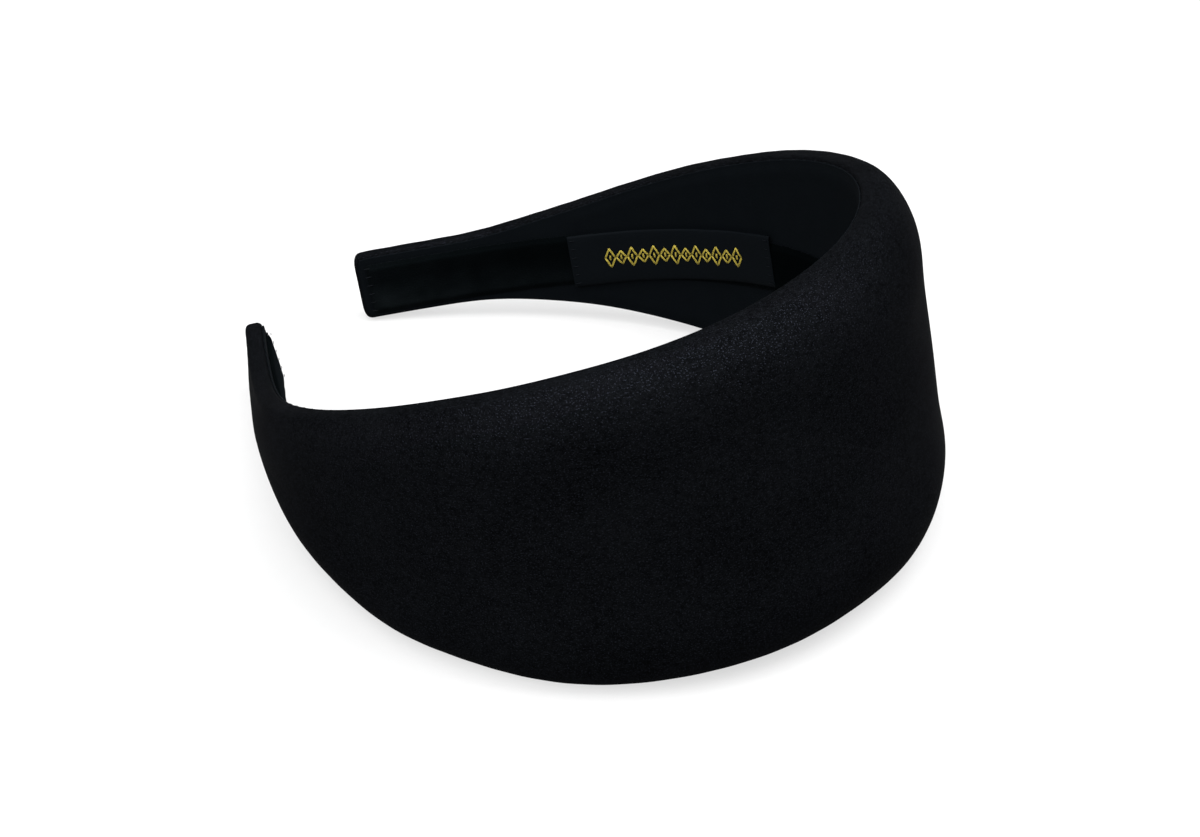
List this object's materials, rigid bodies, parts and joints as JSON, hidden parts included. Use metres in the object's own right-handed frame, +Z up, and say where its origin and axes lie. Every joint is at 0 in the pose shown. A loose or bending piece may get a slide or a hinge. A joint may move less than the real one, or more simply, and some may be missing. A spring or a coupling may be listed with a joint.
{
  "type": "padded headband",
  "caption": "Wide padded headband with a cloth cover, inner lining, velvet grip ribbon and a small blank satin label.",
  "frame": {"origin": "on the surface that the band rests on, below the middle of its box", "axes": "+Z up, +X towards the crown, Y across the head, with the open end towards -X"},
  "size_m": [0.1568, 0.136, 0.0731],
  "materials": {
    "cover": "matt black crepe with a fine glitter in the grain",
    "lining": "smooth blue-black lining cloth",
    "velvet": "deep black velvet ribbon",
    "satin": "blue-black satin with gold thread"
  },
  "bodies": {
    "root": {"padded_band": "cover", "lining": "lining", "grip_ribbon": "velvet", "label": "satin"}
  },
  "joints": []
}
